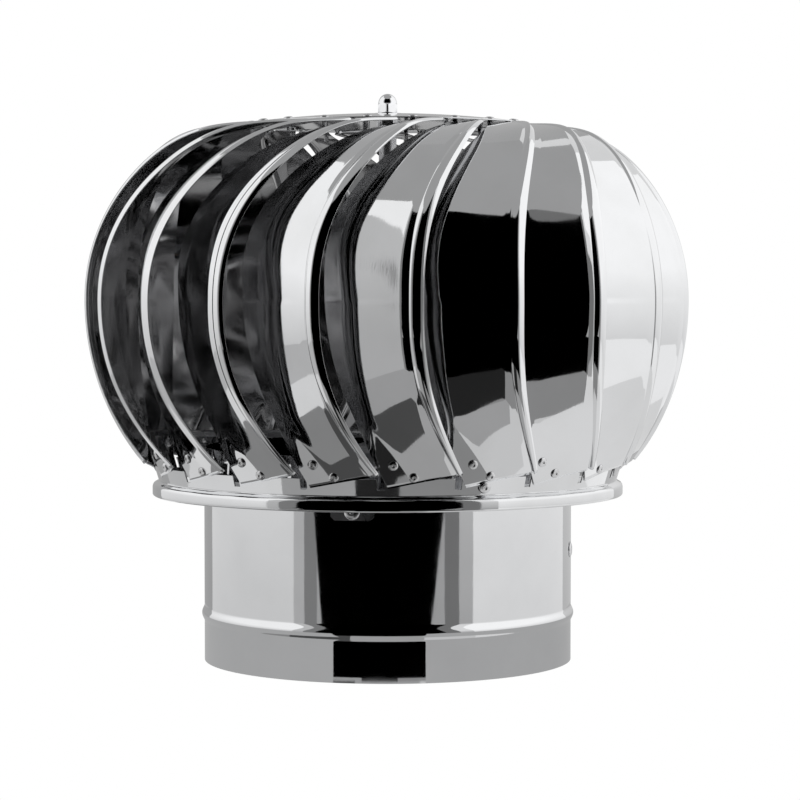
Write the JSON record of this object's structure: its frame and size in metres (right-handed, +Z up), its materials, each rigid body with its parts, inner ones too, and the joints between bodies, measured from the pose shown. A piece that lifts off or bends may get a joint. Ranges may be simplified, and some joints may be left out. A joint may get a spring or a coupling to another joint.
{
  "type": "roof turbine ventilator",
  "caption": "Wind-driven roof turbine ventilator: curved sheet vanes between a domed top plate and a lower ring, turning on a shaft held by bars in a round duct collar.",
  "frame": {"origin": "centre of the duct collar's lower edge, on the rotor's axis", "axes": "+Z up along the rotor's axis; -Y towards the picture's camera"},
  "size_m": [0.408, 0.408, 0.3841],
  "materials": {
    "vane_sheet": "mirror polished",
    "ring_sheet": "mirror polished",
    "collar_sheet": "mirror polished",
    "bar_steel": "mill",
    "turned_steel": "turned",
    "fastener_steel": "bright",
    "rivet": "satin",
    "bronze": "satin"
  },
  "bodies": {
    "collar": {"neck_collar": "collar_sheet", "upper_cross_bar": "bar_steel", "lower_cross_bar": "bar_steel", "bar_rivets": "rivet", "upper_bearing_housing": "turned_steel", "lower_bearing_housing": "turned_steel", "upper_bush": "bronze", "lower_bush": "bronze", "housing_screws": "fastener_steel", "housing_nuts": "fastener_steel", "thrust_washer": "turned_steel"},
    "rotor": {"vane_01": "vane_sheet", "vane_02": "vane_sheet", "vane_03": "vane_sheet", "vane_04": "vane_sheet", "vane_05": "vane_sheet", "vane_06": "vane_sheet", "vane_07": "vane_sheet", "vane_08": "vane_sheet", "vane_09": "vane_sheet", "vane_10": "vane_sheet", "vane_11": "vane_sheet", "vane_12": "vane_sheet", "vane_13": "vane_sheet", "vane_14": "vane_sheet", "vane_15": "vane_sheet", "vane_16": "vane_sheet", "vane_17": "vane_sheet", "vane_18": "vane_sheet", "vane_19": "vane_sheet", "vane_20": "vane_sheet", "lower_ring": "ring_sheet", "top_plate": "ring_sheet", "rotor_arm_1": "bar_steel", "rotor_arm_2": "bar_steel", "rotor_arm_3": "bar_steel", "rotor_hub": "turned_steel", "hub_set_screw": "turned_steel", "shaft": "turned_steel", "retaining_ring": "turned_steel", "plate_washers": "fastener_steel", "lock_nut": "fastener_steel", "acorn_nut": "fastener_steel", "vane_foot_rivets": "rivet", "vane_top_rivets": "rivet", "arm_rivets": "rivet"}
  },
  "joints": [
    {"name": "rotor_spin", "type": "hinge", "parent": "collar", "child": "rotor", "pos_m": [0, 0, 0.15], "axis": [0, 0, 1], "continuous": true}
  ]
}
